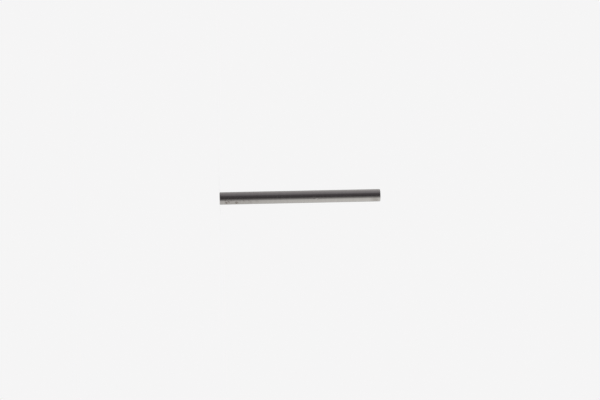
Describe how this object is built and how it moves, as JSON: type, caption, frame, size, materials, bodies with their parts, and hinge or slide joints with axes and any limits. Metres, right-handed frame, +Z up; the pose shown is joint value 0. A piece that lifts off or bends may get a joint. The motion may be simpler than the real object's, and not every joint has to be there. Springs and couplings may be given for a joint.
{
  "type": "pressure pin",
  "caption": "Straight round steel push pin with a small chamfer at each end; it slides in a bore and passes force from one end face to the other.",
  "frame": {"origin": "the middle of the lower end face, which the pin stands on", "axes": "+Z up along the pin's axis; X and Y lie in the lower end face and are alike, since the pin is round"},
  "size_m": [0.004, 0.004, 0.052],
  "materials": {
    "ground_steel": "bright ground steel, stained brown-black in small spots near the lower end"
  },
  "bodies": {
    "root": {"pin": "ground_steel"}
  },
  "joints": []
}
